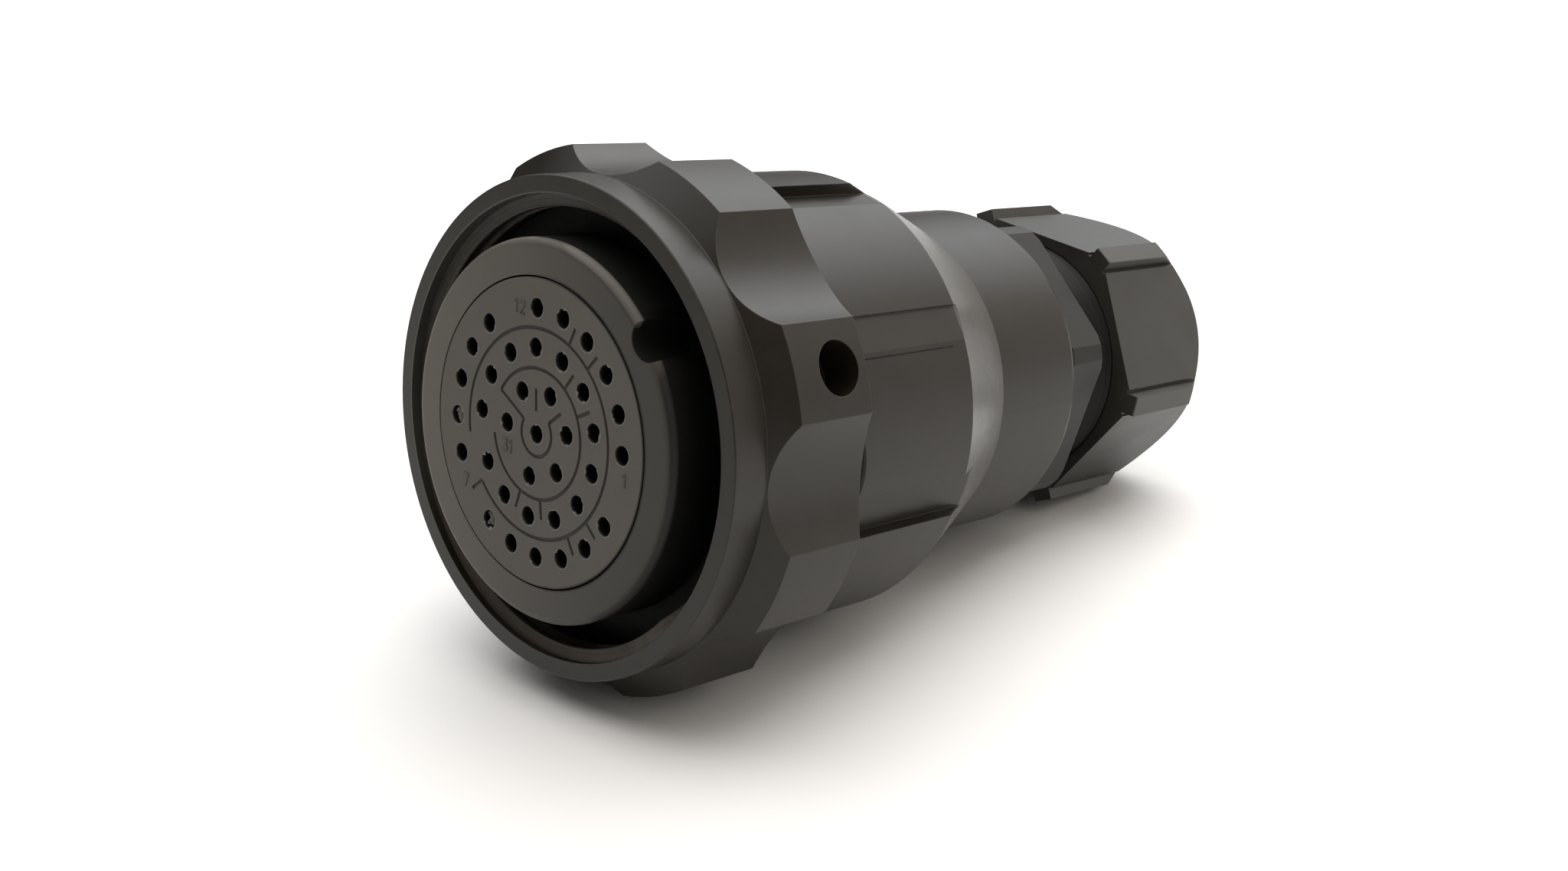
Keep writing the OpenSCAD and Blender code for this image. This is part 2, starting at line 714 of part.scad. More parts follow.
module gland_nut() {
    color(nylon) lie() difference() {
        intersection() {
            rotate_extrude() nut_envelope();
            union() {
                difference() {
                    hexagon(nut_flats, nut_angle, nut_s, nut_end);
                    for (k = [0:5]) at(nut_angle + k * nut_pitch) rib_grooves();
                }
                for (k = [0:5]) at(nut_angle + k * nut_pitch)
                    translate([nut_rib_foot_r, -nut_rib_w / 2, nut_s])
                        cube([nut_rib_r - nut_rib_foot_r, nut_rib_w, nut_len]);
            }
        }
        rotate_extrude() polygon([
            [0, nut_s - beyond], [nut_bore_r, nut_s - beyond], [nut_bore_r, nut_cone_s],
            [nut_mouth_r, nut_cone_end], [nut_mouth_r, nut_end + beyond], [0, nut_end + beyond]]);
    }
}

coupling_ring();
front_shell();
nose_barrel();
contact_insert();
rear_insert();
wire_grommet();
socket_contacts();
contact_clips();
interface_seal();
insert_dowel();
retaining_washer();
retaining_clip();
slip_washer();
ring_seal();
rear_washer();
rear_shell();
shell_seal();
gland_gasket();
gland_body();
clamp_basket();
cable_seal();
gland_nut();
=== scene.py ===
"""Looks of the cable connector: finishes, thread ridge, moulded marks, camera, floor and studio light.

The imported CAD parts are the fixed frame. Added pieces are drawn in the connector's own coordinates, in mm:
s runs back from the nose face, r is the distance from the axis, and angles are seen from the nose, 0 to
the right and 90 up. place() and on_face() turn them into the shared frame.
"""

import json
import math
import random

import bpy
from mathutils import Matrix, Vector

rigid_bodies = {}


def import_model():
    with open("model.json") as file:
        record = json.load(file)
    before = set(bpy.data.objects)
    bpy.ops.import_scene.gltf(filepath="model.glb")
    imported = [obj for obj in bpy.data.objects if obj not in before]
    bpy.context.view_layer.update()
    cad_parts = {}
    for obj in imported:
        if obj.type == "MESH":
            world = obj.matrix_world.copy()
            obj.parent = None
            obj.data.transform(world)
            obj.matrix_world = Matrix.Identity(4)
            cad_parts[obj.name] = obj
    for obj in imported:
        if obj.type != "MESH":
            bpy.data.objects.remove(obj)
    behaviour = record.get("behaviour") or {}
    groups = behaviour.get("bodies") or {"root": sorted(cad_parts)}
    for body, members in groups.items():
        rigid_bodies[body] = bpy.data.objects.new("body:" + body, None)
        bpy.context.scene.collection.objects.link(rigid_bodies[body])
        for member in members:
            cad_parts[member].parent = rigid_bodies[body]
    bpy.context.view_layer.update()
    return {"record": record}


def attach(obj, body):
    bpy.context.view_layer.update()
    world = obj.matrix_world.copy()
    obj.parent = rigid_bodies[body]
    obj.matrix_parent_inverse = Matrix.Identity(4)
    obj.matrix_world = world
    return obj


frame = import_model()

MM = 0.001

# The connector's axis as it lies, repeated from part.scad
NOSE = Vector((0, -0.0551633, 0.0326920))
BACK = Vector((0, 0.992324166, -0.123663853))
RIGHT = Vector((1, 0, 0))
UP = Vector((0, 0.123663853, 0.992324166))

# Sizes repeated from part.scad, in mm
NOSE_R = 21.4
SEAM_R = 17.35
OUTER_RING_R = 13.87
MIDDLE_RING_R = 9.54
INNER_RING_R = 5.03
HOLE_R = 1.1
LEAD_IN_R = 26.0
BODY_R = 27.45
BODY_S = 22.6
TAPER_FROM = 42.25
TAPER_TO = 56.4
NECK_R = 21.45
HEX_END = 80.9

# The ridge of the coupling thread, in mm and degrees; its foot is sunk in the ring's wall
THREAD_FROM = 2.75
THREAD_TO = 8.2
THREAD_FOOT_R = 26.05
THREAD_CREST_R = 24.5
THREAD_WIDTH = 1.36
THREAD_LEAD = 2.0
THREAD_START = -30

# How wide the finishes break a sharp edge, in mm
EDGE = 0.14

# The stretch that a noise texture mostly stays in
NOISE_LOW, NOISE_HIGH = 0.3, 0.7

BLACK = (0.008, 0.0056, 0.0028)
FACE = (0.069, 0.0635, 0.0545)


def place(s, r, angle):
    """A point of the connector's own coordinates (mm, degrees) in the shared frame."""
    turn = math.radians(angle)
    return NOSE + BACK * (s * MM) + (RIGHT * math.cos(turn) + UP * math.sin(turn)) * (r * MM)


def on_face(x, y, s):
    """A point of the nose face's plane (mm across, mm up, mm back) in the shared frame."""
    return NOSE + (RIGHT * x + UP * y + BACK * s) * MM


def scaled(colour, factor):
    return [c * factor for c in colour]


# Materials


class Nodes:
    """A node tree with short ways to add, fill and join nodes."""

    def __init__(self, tree):
        self.tree = tree

    def add(self, kind, **settings):
        node = self.tree.nodes.new(kind)
        for key, value in settings.items():
            setattr(node, key, value)
        return node

    def join(self, output, socket):
        self.tree.links.new(output, socket)

    def fill(self, node, values):
        """Fills a node's inputs, by name or in order, each with a plain value or another node's output."""
        for key, value in values.items() if isinstance(values, dict) else enumerate(values):
            if isinstance(value, bpy.types.NodeSocket):
                self.join(value, node.inputs[key])
            else:
                node.inputs[key].default_value = value

    def maths(self, operation, *values):
        node = self.add("ShaderNodeMath", operation=operation)
        self.fill(node, values)
        return node.outputs["Value"]

    def plus(self, a, b):
        return self.maths("ADD", a, b)

    def times(self, product, *factors):
        for factor in factors:
            product = self.maths("MULTIPLY", product, factor)
        return product

    def complement(self, value):
        """One minus a value."""
        return self.maths("SUBTRACT", 1.0, value)

    def dot(self, a, b):
        node = self.add("ShaderNodeVectorMath", operation="DOT_PRODUCT")
        self.fill(node, (a, b))
        return node.outputs["Value"]

    def ramp(self, value, start, end, low, high, smooth=False):
        """Goes from low to high while a value goes from start to end, and is level beyond them."""
        node = self.add("ShaderNodeMapRange", interpolation_type="SMOOTHSTEP" if smooth else "LINEAR")
        self.fill(node, (value, start, end, low, high))
        return node.outputs["Result"]

    def colour_ramp(self, value, dark, light, start=0.0, end=1.0):
        node = self.add("ShaderNodeValToRGB")
        for stop, position, colour in zip(node.color_ramp.elements, (start, end), (dark, light)):
            stop.position = position
            stop.color = (*colour, 1)
        self.join(value, node.inputs["Fac"])
        return node.outputs["Color"]


class Finish(Nodes):
    """A material under construction, with the textures and places that the finishes share."""

    def __init__(self, name, colour, rough, specular=0.5, metallic=0.0):
        self.material = bpy.data.materials.new(name)
        self.material.use_nodes = True
        super().__init__(self.material.node_tree)
        self.shader = self.tree.nodes["Principled BSDF"]
        self.fill(self.shader, {"Base Color": (*colour, 1), "Roughness": rough,
                                "Specular IOR Level": specular, "Metallic": metallic})
        self.coordinates = self.add("ShaderNodeTexCoord").outputs["Object"]

    def from_nose(self):
        """The place on the surface, from the middle of the nose face."""
        node = self.add("ShaderNodeVectorMath", operation="SUBTRACT")
        self.fill(node, (self.coordinates, NOSE))
        return node.outputs["Vector"]

    def along(self):
        """Distance back from the nose face, in metres."""
        return self.dot(self.from_nose(), BACK)

    def out(self):
        """Distance from the connector's axis, in metres."""
        across = self.add("ShaderNodeVectorMath", operation="CROSS_PRODUCT")
        self.fill(across, (self.from_nose(), BACK))
        length = self.add("ShaderNodeVectorMath", operation="LENGTH")
        self.join(across.outputs["Vector"], length.inputs[0])
        return length.outputs["Value"]

    def towards(self, direction):
        """Distance from the connector's axis in one direction, in metres."""
        return self.dot(self.from_nose(), direction.normalized())

    def between(self, value, start, end, low=0.0, high=1.0):
        """A smooth change from low to high over a stretch given in mm."""
        return self.ramp(value, start * MM, end * MM, low, high, smooth=True)

    def noise(self, scale, detail=3.0, roughness=0.55):
        node = self.add("ShaderNodeTexNoise")
        self.fill(node, {"Vector": self.coordinates, "Scale": scale,
                         "Detail": detail, "Roughness": roughness})
        return node.outputs["Fac"]

    def lathe_lines(self, scale):
        """A one-way noise that runs round the axis, as a turning tool leaves it."""
        node = self.add("ShaderNodeTexNoise", noise_dimensions="1D")
        self.fill(node, {"W": self.plus(self.along(), self.out()), "Scale": scale, "Detail": 4})
        return node.outputs["Fac"]

    def spread(self, noise, low, high):
        """Stretches a noise to a range."""
        return self.ramp(noise, NOISE_LOW, NOISE_HIGH, low, high)

    def broken_edges(self, width):
        """The surface's direction, with sharp edges rounded to a width in mm."""
        node = self.add("ShaderNodeBevel", samples=4)
        node.inputs["Radius"].default_value = width * MM
        return node.outputs["Normal"]

    def worn_edges(self, width):
        """1 on outer and inner edges up to a width in mm, 0 on plain surfaces."""
        plain = self.add("ShaderNodeNewGeometry").outputs["True Normal"]
        return self.ramp(self.dot(self.broken_edges(width), plain), start=0.985, end=0.91, low=0.0, high=1.0)

    def roughness(self, value):
        self.join(value, self.shader.inputs["Roughness"])

    def shades(self, tone, dark, light):
        """Colours the surface from dark at a tone of 0 to light at 1."""
        self.join(self.colour_ramp(tone, dark, light), self.shader.inputs["Base Color"])

    def clouds(self, noise, dark, light):
        """Colours the surface from dark to light by a noise."""
        colour = self.colour_ramp(noise, dark, light, NOISE_LOW, NOISE_HIGH)
        self.join(colour, self.shader.inputs["Base Color"])

    def bump(self, *layers):
        """Adds (height, distance in mm, strength) layers on a surface whose sharp edges are broken."""
        normal = self.broken_edges(EDGE)
        for height, distance, strength in layers:
            node = self.add("ShaderNodeBump")
            self.fill(node, {"Height": height, "Distance": distance * MM,
                             "Strength": strength, "Normal": normal})
            normal = node.outputs["Normal"]
        self.join(normal, self.shader.inputs["Normal"])


def on_taper(finish):
    """0.9 on the outside of the rear shell's taper, 0 elsewhere."""
    along = finish.along()
    slope = (BODY_R - NECK_R) / (TAPER_TO - TAPER_FROM)
    cone = BODY_R + slope * TAPER_FROM
    level = finish.plus(finish.out(), finish.times(along, slope))
    outside = finish.between(level, cone - 0.35, cone - 0.15, high=0.9)
    begins = finish.between(along, TAPER_FROM, TAPER_FROM + 0.2)
    ends = finish.between(along, TAPER_TO - 0.2, TAPER_TO, 1.0, 0.0)
    return finish.times(outside, finish.times(begins, ends))


def painted_bore_light(finish):
    """Up to 0.75 in the mouth of the coupling ring, on the left: painted light that makes the bore paler
    there.
    """
    inside = finish.between(finish.out(), LEAD_IN_R + 0.1, LEAD_IN_R + 0.25, 1.0, 0.0)
    mouth = finish.times(inside, finish.between(finish.along(), THREAD_TO, THREAD_TO + 2, 1.0, 0.0))
    left = finish.between(finish.towards(UP * 0.6 - RIGHT), 4, 20, high=0.75)
    return finish.times(mouth, left)


def anodised(name, pale_taper=False, with_painted_bore_light=False):
    """Satin black anodised aluminium with fine turning lines and worn edges, and painted light in the ring's
    bore if asked.
    """
    finish = Finish(name, BLACK, 0.38, specular=0.36)
    lines = finish.lathe_lines(scale=5200)
    cloud = finish.noise(scale=180)
    rough = finish.spread(finish.plus(finish.times(lines, 0.45), finish.times(cloud, 0.55)), 0.34, 0.42)
    patches = finish.spread(finish.noise(scale=900, detail=4), 0.0, 0.68)
    tone = finish.plus(finish.spread(cloud, 0.0, 0.07), finish.times(finish.worn_edges(0.16), patches))
    if pale_taper:
        pale = on_taper(finish)
        tone = finish.plus(tone, pale)
        rough = finish.plus(rough, finish.times(pale, -0.14))
    # Painted light on the left of the ring's bore
    if with_painted_bore_light:
        tone = finish.plus(tone, painted_bore_light(finish))
    finish.roughness(rough)
    finish.shades(tone, BLACK, (0.056, 0.053, 0.0485))
    finish.bump((lines, 0.002, 0.12), (finish.noise(scale=9000, detail=2), 0.001, 0.15))
    return finish.material


def moulding(name, rough, shade):
    """Matte dark grey moulded plastic with a fine grain and faint flow marks."""
    finish = Finish(name, shade, rough, specular=0.35)
    grain = finish.noise(scale=5200)
    flow = finish.noise(scale=90, detail=4)
    finish.roughness(finish.spread(flow, rough - 0.06, rough + 0.07))
    finish.clouds(flow, scaled(shade, 0.88), scaled(shade, 1.12))
    finish.bump((grain, 0.012, 0.45), (flow, 0.03, 0.3))
    return finish.material


def nose_painted_light(finish, along, out, edge_r):
    """What the nose barrel's tone is multiplied by, as the photo shows it.

    The face has painted shade towards the right. Its rounded edge has a painted highlight above the key
    groove and painted shade below it, and the groove's wall has painted shade that makes it nearly black.
    """
    # Painted shade, darker towards the right
    across = finish.between(finish.towards(RIGHT), -20, 20, 1.18, 0.46)
    # Painted shade on the rounded edge below the key groove
    below = finish.between(finish.towards(RIGHT - UP * 0.27), 14, 15.6)
    painted_shading = finish.times(finish.between(out, edge_r - 0.65, edge_r - 0.2, high=0.85), below)
    # Painted shade on the key groove's wall
    wall = finish.times(finish.between(along, 0.05, 0.2, high=0.95),
                        finish.between(out, edge_r - 0.95, edge_r - 0.8, 1.0, 0.0))
    # Painted highlight on the rounded edge above the key groove
    above = finish.between(finish.towards(RIGHT + UP * 1.9), 19.5, 20.3)
    lit = finish.times(finish.between(out, edge_r - 0.7, edge_r - 0.4, high=0.75), above)
    return across, finish.complement(painted_shading), finish.complement(wall), finish.plus(1.0, lit)


def face_finish(name, rough, painted_shade_from, edge_r, line_depth=None, painted_shading=False):
    """A moulded front piece: matte grey, worn lighter at its edge on the left with a painted highlight there,
    and with painted shade that makes it near black deeper in.

    The joint round the insert has painted shade on the right. Sunk lines of a given depth get painted shade
    all round.
    """
    plain_tone = 0.62
    finish = Finish(name, FACE, rough, specular=0.24)
    along, out = finish.along(), finish.out()
    # Painted shade: near black deeper in
    face = finish.between(along, painted_shade_from, painted_shade_from + 0.25, 1.0, 0.0)
    # Painted shade in sunk lines
    if line_depth:
        face = finish.times(face, finish.between(along, 0.2 * line_depth, line_depth, 1.0, 0.4))
    right = finish.between(finish.towards(RIGHT + UP * 0.1), -4, 9)
    # Painted shade in the joint round the insert, on the right
    to_seam = finish.maths("ABSOLUTE", finish.maths("SUBTRACT", out, (SEAM_R - 0.1) * MM))
    painted_seam_shade = finish.times(finish.between(to_seam, 0.2, 0.38, 0.95, 0.0), right)
    face = finish.times(face, finish.complement(painted_seam_shade))
    # Painted shade and painted highlight on the nose barrel
    if painted_shading:
        face = finish.times(face, *nose_painted_light(finish, along, out, edge_r))
    # Worn lighter at the edge on the left, with a painted highlight there
    edge = finish.times(finish.between(out, edge_r - 0.3, edge_r), finish.complement(right))
    wear_and_highlight = finish.times(edge, finish.spread(finish.noise(scale=700, detail=4), 0.0, 0.5))
    flow = finish.noise(scale=90, detail=4)
    tone = finish.plus(finish.spread(flow, plain_tone - 0.06, plain_tone + 0.06), wear_and_highlight)
    finish.roughness(finish.spread(flow, rough - 0.05, rough + 0.07))
    finish.shades(finish.times(face, tone), (0.0022, 0.0021, 0.002), scaled(FACE, 1 / plain_tone))
    finish.bump((finish.noise(scale=5200), 0.012, 0.4), (flow, 0.03, 0.3))
    return finish.material


def nylon(name, shade, shine, painted_shade_from=None):
    """Black polyamide with slight ripples from the mould, and painted shade that makes it darkest behind a
    place on its length if given.
    """
    finish = Finish(name, shade, 0.38, specular=shine)
    ripple = finish.noise(scale=160)
    grain = finish.noise(scale=9000, detail=2)
    finish.roughness(finish.spread(ripple, 0.34, 0.42))
    tone = finish.spread(ripple, 0.7, 1.0)
    # Painted shade: near black behind the given place
    if painted_shade_from:
        tone = finish.times(tone, finish.between(finish.along(), painted_shade_from, painted_shade_from + 0.15, 1.0, 0.0))
    finish.shades(tone, (0.0016, 0.0014, 0.0012), shade)
    finish.bump((ripple, 0.012, 0.06), (grain, 0.0005, 0.06))
    return finish.material


def rubber():
    """Dull black rubber with a fine grain."""
    finish = Finish("rubber_black", (0.005, 0.005, 0.005), 0.62, specular=0.12)
    grain = finish.noise(scale=4200, detail=4)
    finish.roughness(finish.spread(grain, 0.55, 0.72))
    finish.clouds(finish.noise(scale=240), (0.004, 0.004, 0.004), (0.0065, 0.0065, 0.0063))
    finish.bump((grain, 0.012, 0.4))
    return finish.material


def bare_metal(name, dark, light, rough):
    """Metal with turning lines and a slightly uneven colour."""
    finish = Finish(name, light, rough, metallic=1.0)
    lines = finish.lathe_lines(scale=6400)
    finish.roughness(finish.spread(lines, rough - 0.07, rough + 0.08))
    finish.clouds(finish.noise(scale=320), dark, light)
    finish.bump((lines, 0.004, 0.4))
    return finish.material


def thread_finish():
    """The ring's thread: anodised, scratched to a brownish black on the side that a mate has rubbed."""
    finish = Finish("thread_worn", (0.012, 0.011, 0.01), 0.4, specular=0.24)
    rubbed = finish.between(finish.towards(UP - RIGHT * 0.8), 2, 16)
    streaks = finish.lathe_lines(scale=2600)
    patch = finish.noise(scale=420, detail=5, roughness=0.7)
    scratch = finish.times(finish.spread(streaks, 0.0, 1.0), finish.spread(patch, 0.1, 1.0))
    plain = finish.times(finish.complement(rubbed), 0.4)
    finish.roughness(finish.spread(patch, 0.34, 0.6))
    finish.shades(finish.plus(plain, finish.times(scratch, rubbed)),
                  (0.0022, 0.0018, 0.0014), (0.085, 0.07, 0.055))
    finish.bump((scratch, 0.05, 0.6), (finish.noise(scale=3000), 0.006, 0.3))
    return finish.material


# The finish of each slot of the record, and of the nodes that look different from their slot
FINISHES = {
    "shell_metal": anodised("anodised_black"),
    "insert_moulding": moulding("insert_grey", 0.55, (0.048, 0.047, 0.044)),
    "gland_nylon": nylon("nylon_black", (0.031, 0.0295, 0.026), shine=0.36),
    "seal_rubber": rubber(),
    "spring_steel": bare_metal("spring_steel", (0.4, 0.41, 0.42), (0.56, 0.57, 0.58), 0.3),
    "contact_metal": bare_metal("contact_gold", (0.62, 0.42, 0.16), (0.83, 0.6, 0.26), 0.27),
}
OWN_FINISHES = {
    # The ring's bore has painted light on the left
    "coupling_ring": anodised("anodised_painted_bore_light", with_painted_bore_light=True),
    "rear_shell": anodised("anodised_pale_taper", pale_taper=True),
    "rear_washer": bare_metal("steel_blackened", (0.028, 0.026, 0.024), (0.045, 0.042, 0.039), 0.42),
    # Painted shade on the gland body's thread behind the hex
    "gland_body": nylon("nylon_dull", (0.0165, 0.0155, 0.0135), shine=0.17, painted_shade_from=HEX_END),
    # Painted shade on the nose and insert faces, and painted highlights on the nose's edge
    "nose_barrel": face_finish("nose_grey", 0.5, painted_shade_from=0.85, edge_r=NOSE_R - 0.1, painted_shading=True),
    "contact_insert": face_finish("insert_face", 0.52, painted_shade_from=0.22, edge_r=SEAM_R + 1, line_depth=0.15),
}
for part in frame["record"]["subparts"]:
    fitted = bpy.data.objects[part["node"]]
    fitted.data.materials.clear()
    fitted.data.materials.append(OWN_FINISHES.get(part["node"], FINISHES[part["material_slot"]]))

# Pieces


def stand(name, data):
    """An object of the scene that shows a mesh, light or camera."""
    item = bpy.data.objects.new(name, data)
    bpy.context.scene.collection.objects.link(item)
    return item


def skin(rows, count, first=0, flip=False, ring=False, ends=True):
    """Faces over rows of points, each row a closed section.

    The rows form a ring, or a length whose two ends are closed or left open.
    """
    faces = []
    for k in range(rows if ring else rows - 1):
        a, b = first + k * count, first + (k + 1) % rows * count
        for j in range(count):
            n = (j + 1) % count
            faces.append((a + j, a + n, b + n, b + j) if flip else (a + j, b + j, b + n, a + n))
    if ends and not ring:
        last = first + (rows - 1) * count
        near, far = tuple(range(first, first + count)), tuple(range(last, last + count))
        faces += [near[::-1], far] if flip else [near, far[::-1]]
    return faces


def piece(name, points, faces, body, material, smooth=True):
    """A mesh piece in the shared frame, riding on a body and finished with the given material."""
    mesh = bpy.data.meshes.new(name)
    mesh.from_pydata([tuple(p) for p in points], [], faces)
    mesh.materials.append(material)
    mesh.validate()
    for face in mesh.polygons:
        face.use_smooth = smooth
    item = stand(name, mesh)
    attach(item, body)


def coupling_thread():
    """Inside thread of the coupling ring: one broad right-hand ridge that begins blunt and runs in."""
    steps_per_turn, run_in_steps, blunt_height, rounding = 120, 4, 0.25, 0.08
    section = [(0, THREAD_FOOT_R), (0.36, THREAD_CREST_R + rounding), (0.46, THREAD_CREST_R),
               (0.9, THREAD_CREST_R), (1.0, THREAD_CREST_R + rounding), (THREAD_WIDTH, THREAD_FOOT_R)]
    turns = (THREAD_TO - THREAD_WIDTH - THREAD_FROM) / THREAD_LEAD
    steps = round(turns * steps_per_turn)
    points = []
    for k in range(steps + 1):
        share = k / steps
        s = THREAD_FROM + share * turns * THREAD_LEAD
        angle = THREAD_START - share * turns * 360
        height = min(1, blunt_height + (1 - blunt_height) * min(k, steps - k) / run_in_steps)
        points += [place(s + ds, THREAD_FOOT_R + (r - THREAD_FOOT_R) * height, angle) for ds, r in section]
    piece("coupling_thread", points, skin(steps + 1, len(section)), "coupling",
          thread_finish(), smooth=False)


def on_ring(r, angle):
    """A place on the nose face by its distance from the middle and its angle, as mm across and mm up."""
    turn = math.radians(angle)
    return r * math.cos(turn), r * math.sin(turn)


# Rings of contact holes as in part.scad: radius, first angle, pitch, number of places, places left out
HOLE_RINGS = [
    (INNER_RING_R, 178, 55.5, 6, ()),
    (MIDDLE_RING_R, 176, 27, 13, ()),
    (OUTER_RING_R, 94, 18, 20, (6, 13, 19)),
]


def contact_holes():
    """The 37 contact places as (radius, angle), with one in the middle."""
    holes = [(0, 0)]
    for ring_r, first, pitch, places, left_out in HOLE_RINGS:
        holes += [(ring_r, first - k * pitch) for k in range(places) if k not in left_out]
    return holes


def hole_rims():
    """Thin ragged flash round the contact holes, with a few burrs that reach into them."""
    rng = random.Random(7)
    around, section = 40, 4
    depth, sunk, crest_r = 0.14, 0.02, HOLE_R + 0.03
    burr_numbers = (0, 1, 1, 2, 3)
    burr_shape = ((-1, 0.45), (0, 1), (1, 0.6))
    points, faces = [], []
    for ring_r, angle in contact_holes():
        x, y = on_ring(ring_r, angle)
        inner = [HOLE_R - 0.02 + rng.uniform(-0.025, 0.02) for _ in range(around)]
        for _ in range(rng.choice(burr_numbers)):
            k, reach = rng.randrange(around), rng.uniform(0.08, 0.22)
            for step, share in burr_shape:
                inner[(k + step) % around] -= reach * share
        faces += skin(around, section, len(points), flip=True, ring=True)
        for k in range(around):
            turn = 2 * math.pi * k / around
            low_right = 0.5 + 0.5 * math.cos(turn + math.pi / 4)
            height = rng.uniform(0.015, 0.03) + 0.03 * low_right
            outer = HOLE_R + rng.uniform(0.04, 0.08) + 0.13 * low_right
            for r, s in ((inner[k], depth), (inner[k], -height), (crest_r, -height * 0.8), (outer, sunk)):
                points.append(on_face(x + r * math.cos(turn), y + r * math.sin(turn), s))
    piece("hole_rims", points, faces, "shell",
          moulding("insert_rims", 0.42, (0.1, 0.096, 0.087)), smooth=False)


def crumbs():
    """Lumps of flash left in two of the outer holes."""
    rng = random.Random(11)
    filled_holes, lumps, rows, around = (-176, -122), 14, 5, 8
    points, faces = [], []
    for angle in filled_holes:
        hole_x, hole_y = on_ring(OUTER_RING_R, angle)
        for _ in range(lumps):
            x = hole_x + rng.uniform(-0.2, 0.95)
            y = hole_y + rng.uniform(-0.5, 0.9)
            s = rng.uniform(0.28, 0.46)
            size = rng.uniform(0.3, 0.44)
            faces += skin(rows + 1, around, len(points), ends=False)
            for i in range(rows + 1):
                polar = math.pi * i / rows
                for j in range(around):
                    swing = 2 * math.pi * j / around
                    r = size * rng.uniform(0.75, 1.15) if 0 < i < rows else size
                    points.append(on_face(x + r * math.sin(polar) * math.cos(swing),
                                          y + r * math.sin(polar) * math.sin(swing), s - r * math.cos(polar)))
    piece("hole_crumbs", points, faces, "shell",
          moulding("insert_crumbs", 0.5, scaled(FACE, 0.9)))


# Strokes of the digits in use, in a box one unit high
DIGITS = {
    "1": [[(0.08, 0.78), (0.3, 1.0), (0.3, 0.0)]],
    "2": [[(0.02, 0.78), (0.1, 0.94), (0.28, 1.0), (0.46, 0.93), (0.52, 0.76), (0.44, 0.57), (0.02, 0),
           (0.54, 0)]],
    "3": [[(0.03, 0.88), (0.15, 0.98), (0.3, 1.0), (0.46, 0.93), (0.51, 0.77), (0.44, 0.61), (0.25, 0.54)],
          [(0.25, 0.54), (0.47, 0.46), (0.54, 0.28), (0.47, 0.08), (0.28, 0.0), (0.1, 0.04), (0.0, 0.15)]],
    "7": [[(0.0, 1.0), (0.54, 1.0), (0.36, 0.6), (0.22, 0.0)]],
}
# Contact numbers moulded where the rings of contacts begin, with their places on the face in mm
NUMBERS = [("1", 14.6, -1.6), ("7", -11.7, -8.2), ("12", -3.75, 13.5), ("31", -4.6, -2.45)]


def stroke(path, width, height, points, faces):
    """Adds a low rounded ridge along a path on the nose face."""
    sunk, shoulder = 0.03, -0.6 * height
    section = [(-0.5, sunk), (-0.36, shoulder), (0, -height), (0.36, shoulder), (0.5, sunk)]
    faces += skin(len(path), len(section), len(points), flip=True)
    for k, (x, y) in enumerate(path):
        before, after = path[max(k - 1, 0)], path[min(k + 1, len(path) - 1)]
        along = Vector((after[0] - before[0], after[1] - before[1])).normalized()
        for across, s in section:
            points.append(on_face(x - along.y * across * width, y + along.x * across * width, s))


def numbers():
    """The moulded contact numbers."""
    digit_height, pitch, stroke_width, stroke_height = 1.5, 1.05, 0.24, 0.12
    points, faces = [], []
    for text, x, y in NUMBERS:
        for k, digit in enumerate(text):
            left = x + (k - len(text) / 2) * pitch
            for path in DIGITS[digit]:
                placed = [(left + u * digit_height, y + (v - 0.5) * digit_height) for u, v in path]
                stroke(placed, stroke_width, stroke_height, points, faces)
    piece("contact_numbers", points, faces, "shell",
          moulding("insert_numbers", 0.5, scaled(FACE, 0.72)))


def body_strip(name, edges, height):
    """A thin black strip on the body's outside, given as (angle, start, end) along its length in mm."""
    low, high = BODY_R - 0.15, BODY_R + height
    points = []
    for angle, start, end in edges:
        inset = min(0.2 * (end - start), 0.3)
        section = [(start, low), (start, high - height / 3), (start + inset, high), (end - inset, high),
                   (end, low)]
        points += [place(s, r, angle) for s, r in section]
    faces = skin(len(edges), len(points) // len(edges), flip=True)
    piece(name, points, faces, "shell", FINISHES["seal_rubber"])


def painted_gap_shadow():
    """A thin black strip behind the ring on the near side: a painted shadow of the dark gap between the ring
    and the body.
    """
    first, last, steps = 7.0, -10.0, 24
    start, least, most = BODY_S + 0.1, 0.06, 0.9
    edges = []
    for k in range(steps + 1):
        share = k / steps
        width = least + most * math.sin(math.pi * share)
        edges.append((first + share * (last - first), start, start + width))
    body_strip("painted_gap_shadow", edges, height=0.05)


def painted_step_shade():
    """A thin black strip along the body at the foot of its index flat, with an uneven end: painted shade at
    the flat's step.
    """
    angle, half_width, steps = 24.0, 0.15, 3
    start, end, uneven = 24.2, 40.4, 0.3
    first, last = angle + half_width, angle - half_width
    edges = [(first + k / steps * (last - first), start, end - uneven * (k % 2)) for k in range(steps + 1)]
    body_strip("painted_step_shade", edges, height=0.03)


coupling_thread()
hole_rims()
crumbs()
numbers()
# Painted shadow behind the ring on the near side
painted_gap_shadow()
# Painted shade at the foot of the body's index flat
painted_step_shade()

# Camera, floor and light


def aim(item, direction, up):
    """Turns a camera or light so that it looks along a direction."""
    back = -direction.normalized()
    side = up.cross(back).normalized()
    top = back.cross(side)
    item.rotation_euler = Matrix((side, top, back)).transposed().to_euler()


def camera():
    """The photo's camera, solved from the hole rings and the circles of the shell."""
    look = Vector((-0.64540, 0.68469, -0.33860))
    side = Vector((0.72766, 0.68592, 0))
    down = Vector((0.23225, -0.24635, -0.94093))
    nose_depth, nose_to_side, nose_down = 0.2, -0.13506, -0.00079
    lens = bpy.data.cameras.new("camera")
    lens.sensor_width = 36
    lens.lens = 42.117
    lens.clip_start = 0.005
    item = stand("camera", lens)
    item.location = NOSE - nose_depth * (look + nose_to_side * side + nose_down * down)
    aim(item, look, -down)
    bpy.context.scene.camera = item


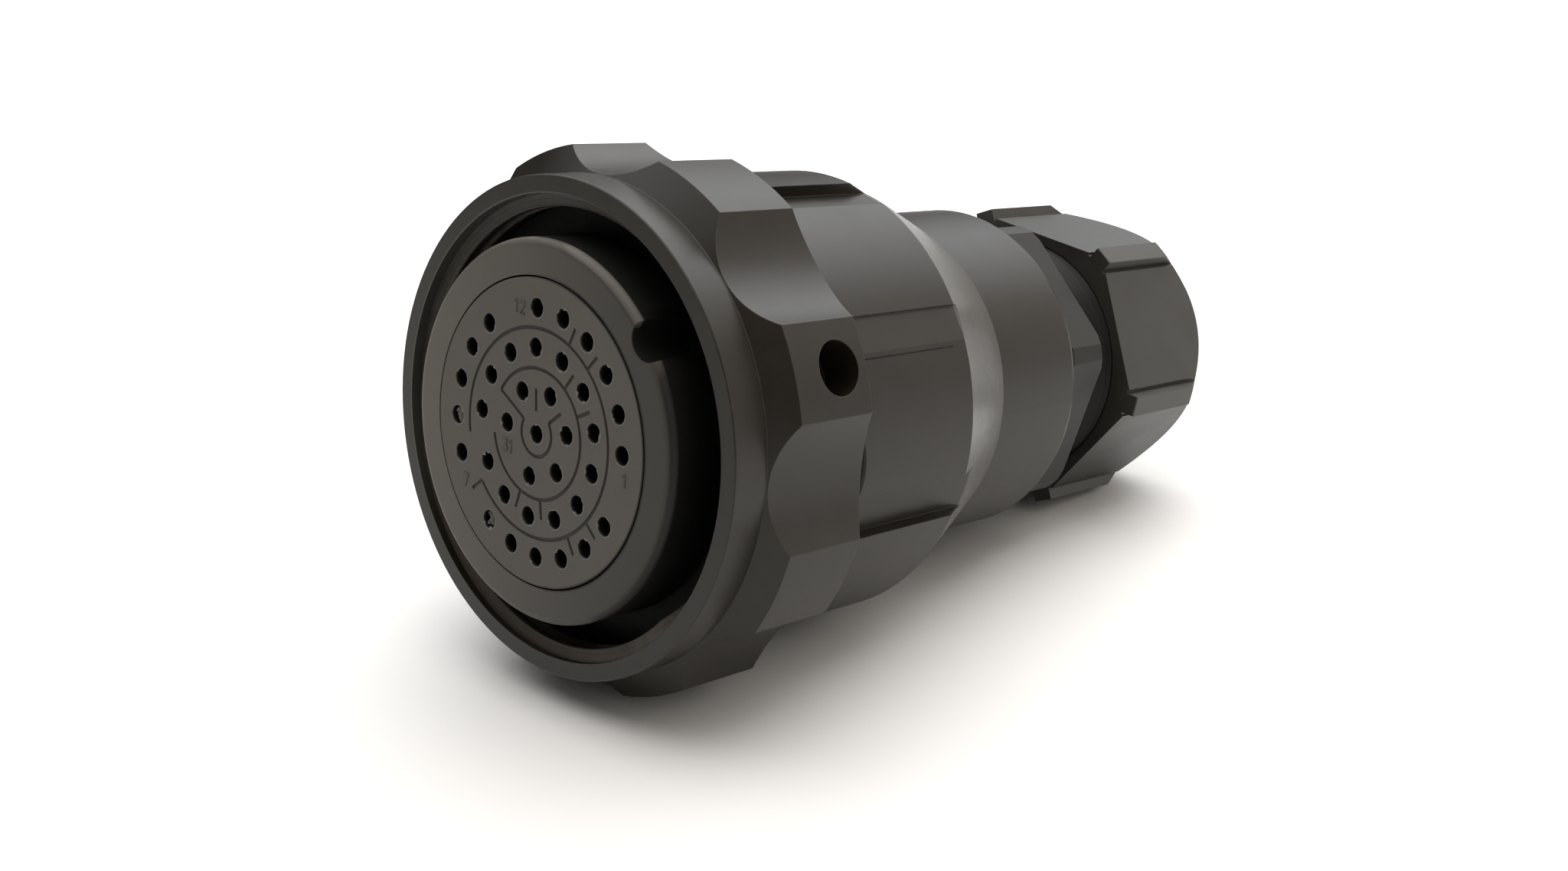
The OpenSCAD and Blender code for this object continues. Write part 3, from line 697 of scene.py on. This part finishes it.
def area(name, stands_at, target, size, power, colour):
    """A rectangular softbox."""
    lamp = bpy.data.lights.new(name, "AREA")
    lamp.shape = "RECTANGLE"
    lamp.size, lamp.size_y = size
    lamp.energy = power
    lamp.color = colour
    item = stand(name, lamp)
    item.location = stands_at
    aim(item, Vector(target) - Vector(stands_at), Vector((0, 1, 0.01)))


def floor():
    """A wide white sheet under the connector."""
    half = 4
    corners = [(-half, -half, 0), (half, -half, 0), (half, half, 0), (-half, half, 0)]
    mesh = bpy.data.meshes.new("floor")
    mesh.from_pydata(corners, [], [(0, 1, 2, 3)])
    finish = Finish("floor_white", (0.72, 0.715, 0.71), 0.6)
    finish.roughness(finish.spread(finish.noise(scale=40), 0.55, 0.68))
    mesh.materials.append(finish.material)
    item = stand("floor", mesh)


def studio():
    """A surround that is bright behind and to the right, and dim in front and low at the back left.

    It is bluish on the left and warm on the right.
    """
    world = bpy.data.worlds.new("studio")
    world.use_nodes = True
    sky = Nodes(world.node_tree)
    direction = sky.add("ShaderNodeTexCoord").outputs["Generated"]
    axes = sky.add("ShaderNodeSeparateXYZ")
    sky.join(direction, axes.inputs[0])
    right, up = axes.outputs["X"], axes.outputs["Z"]
    behind = sky.dot(direction, Vector((0.36, 0.8, 0.3)).normalized())
    bright = sky.ramp(behind, start=-0.35, end=0.55, low=0.17, high=1.15, smooth=True)
    higher = sky.ramp(up, start=0.0, end=0.6, low=0.72, high=1.15)
    off_left = sky.ramp(right, start=-0.64, end=-0.44, low=0.0, high=1.0)
    above = sky.ramp(up, start=0.3, end=0.6, low=0.0, high=1.0)
    strength = sky.times(bright, higher, sky.maths("MAXIMUM", off_left, above))
    warmth = sky.ramp(right, start=-0.8, end=-0.1, low=0.0, high=1.0)
    tint = sky.colour_ramp(warmth, (0.8, 0.9, 1), (1, 0.945, 0.875))
    sky.fill(sky.tree.nodes["Background"], {"Color": tint, "Strength": strength})
    bpy.context.scene.world = world


camera()
floor()
area("overhead", (-0.22, 0.08, 0.8), target=(-0.08, 0.05, 0), size=(1.5, 1.6), power=16.5,
     colour=(0.995, 0.982, 0.965))
area("back", (-0.045, 0.665, 0.555), target=NOSE, size=(0.6, 0.4), power=0.9, colour=(0.8, 0.9, 1.0))
studio()
bpy.context.scene.view_settings.view_transform = "Standard"
